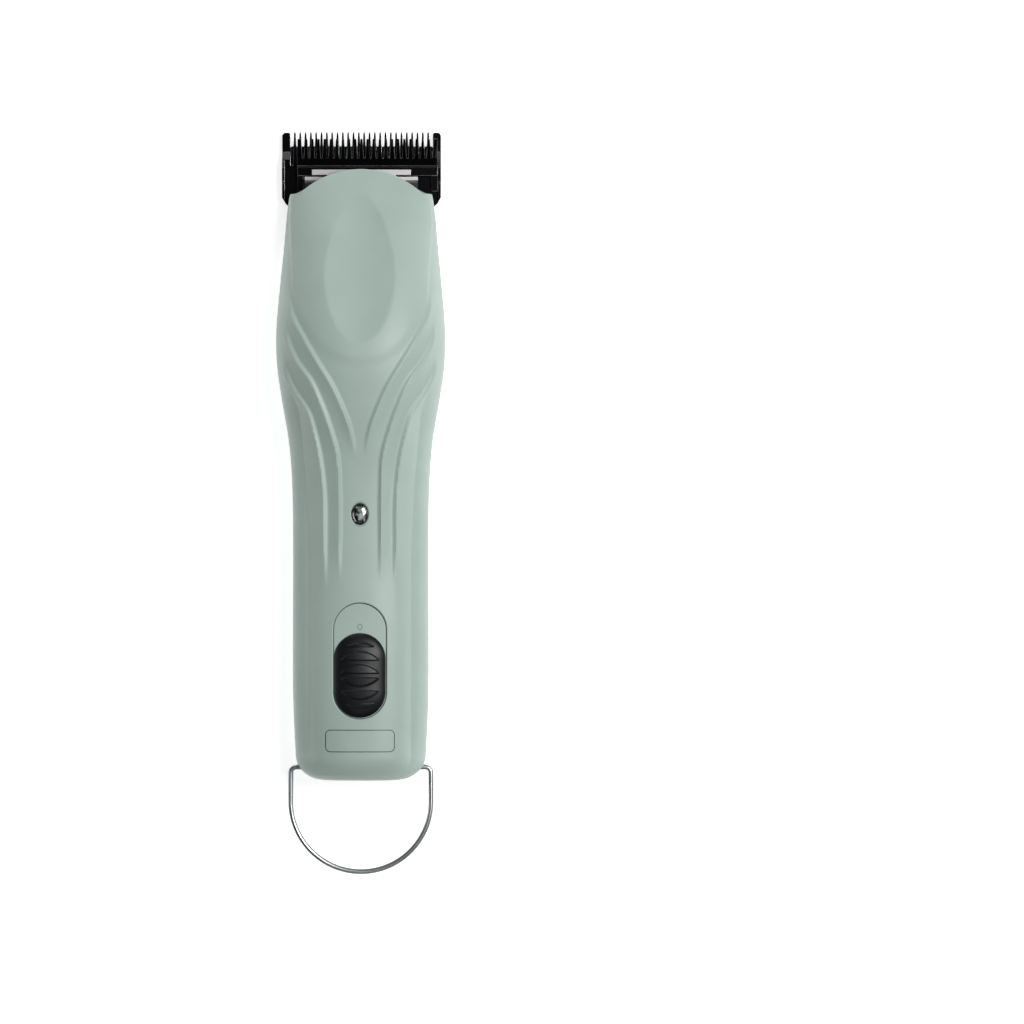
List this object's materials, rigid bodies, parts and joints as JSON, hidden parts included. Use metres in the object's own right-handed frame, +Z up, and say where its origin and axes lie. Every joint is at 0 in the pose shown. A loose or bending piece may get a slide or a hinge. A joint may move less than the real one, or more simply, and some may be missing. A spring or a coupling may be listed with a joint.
{
  "type": "hair clipper",
  "caption": "Cordless hair clipper with a contoured body, thumb switch, hanging loop and a detachable fine-toothed blade set.",
  "frame": {"origin": "centre of the clipper's footprint on the table it lies on, back down", "axes": "+Y along the body towards the blade teeth, +Z up out of the face with the thumb switch, +X to the right seen from the face with the blade up"},
  "size_m": [0.0498, 0.219, 0.0362],
  "materials": {
    "body_plastic": "satin moulded, sage green",
    "slider_rubber": "soft-touch black",
    "black_blade_steel": "glossy black coating over ground steel",
    "ground_steel": "ground",
    "polished_steel": "polished wire",
    "cast_frame": "die cast",
    "black_nylon": "moulded nylon",
    "grey_nylon": "moulded nylon",
    "bronze": "sintered",
    "copper_winding": "enamelled wire",
    "laminated_iron": "stacked sheets",
    "magnet": "ground",
    "motor_shell": "plated",
    "circuit_board": "solder mask",
    "chip_black": "moulded",
    "cell_sleeve": "shrink film",
    "cell_can": "plated",
    "gold_contact": "plated",
    "smoked_lens": "glossy",
    "chrome_trim": "polished",
    "lamp": "clear resin",
    "wire_red": "insulation"
  },
  "bodies": {
    "housing": {"front_cover": "body_plastic", "rear_cover": "body_plastic", "switch_track": "body_plastic", "switch_module": "chip_black", "indicator_bezel": "chrome_trim", "indicator_lens": "smoked_lens", "indicator_led": "lamp", "battery_cell": "cell_can", "battery_sleeve": "cell_sleeve", "battery_tabs": "cell_can", "main_board": "circuit_board", "board_chips": "chip_black", "charge_inlet": "black_nylon", "inlet_pins": "gold_contact", "charge_contacts": "gold_contact", "charge_leads": "wire_red", "motor_leads": "wire_red", "motor_can": "motor_shell", "motor_end_cap": "black_nylon", "motor_front_bearing": "bronze", "motor_rear_bearing": "bronze", "stator_core": "laminated_iron", "stator_windings": "copper_winding", "head_frame": "cast_frame", "lever_post": "ground_steel", "post_clip": "ground_steel", "frame_screws": "ground_steel", "hinge_pin": "ground_steel", "hinge_spring": "ground_steel", "latch_springs": "ground_steel", "loop_bushes": "black_nylon", "housing_screws": "ground_steel"},
    "rotor": {"motor_shaft": "ground_steel", "rotor_magnet": "magnet", "eccentric_cam": "ground_steel", "cam_roller": "bronze"},
    "lever": {"drive_lever": "grey_nylon", "drive_tip": "black_nylon", "lever_bush": "bronze"},
    "tongue": {"hinge_tongue": "ground_steel"},
    "blade_set": {"comb_blade": "black_blade_steel", "blade_socket": "ground_steel", "tension_spring": "ground_steel", "blade_guide": "black_nylon", "blade_screws": "ground_steel"},
    "cutter": {"cutter_blade": "black_blade_steel"},
    "switch": {"switch_slider": "slider_rubber", "switch_carriage": "black_nylon"},
    "latch": {"release_latch": "black_nylon"},
    "loop": {"hanging_loop": "polished_steel"}
  },
  "joints": [
    {"name": "blade_hinge", "type": "hinge", "parent": "housing", "child": "tongue", "pos_m": [0, 0.0786, 0.0036], "axis": [-1, 0, 0], "range_deg": [0, 50]},
    {"name": "blade_slide", "type": "slide", "parent": "tongue", "child": "blade_set", "axis": [0, 1, 0], "range_m": [0, 0.03]},
    {"name": "cutter_stroke", "type": "slide", "parent": "blade_set", "child": "cutter", "axis": [1, 0, 0], "range_m": [-0.0036, 0]},
    {"name": "lever_swing", "type": "hinge", "parent": "housing", "child": "lever", "pos_m": [0, 0.066, 0.012], "axis": [0, 0, 1], "range_deg": [0, 7.4]},
    {"name": "motor_spin", "type": "hinge", "parent": "housing", "child": "rotor", "pos_m": [0, 0.028, 0.017], "axis": [0, 1, 0], "continuous": true},
    {"name": "switch_slide", "type": "slide", "parent": "housing", "child": "switch", "axis": [0, 1, 0], "range_m": [0, 0.0086]},
    {"name": "latch_press", "type": "slide", "parent": "housing", "child": "latch", "axis": [0, -1, 0], "range_m": [0, 0.0015], "stiffness_N_per_m": 400, "springref_m": -0.001},
    {"name": "loop_swing", "type": "hinge", "parent": "housing", "child": "loop", "pos_m": [0, -0.0779, 0.01505], "axis": [1, 0, 0], "range_deg": [-95, 95]}
  ],
  "couplings": [
    {"joint": "lever_swing", "follows": "cutter_stroke", "rad_per_m": -35.714}
  ]
}
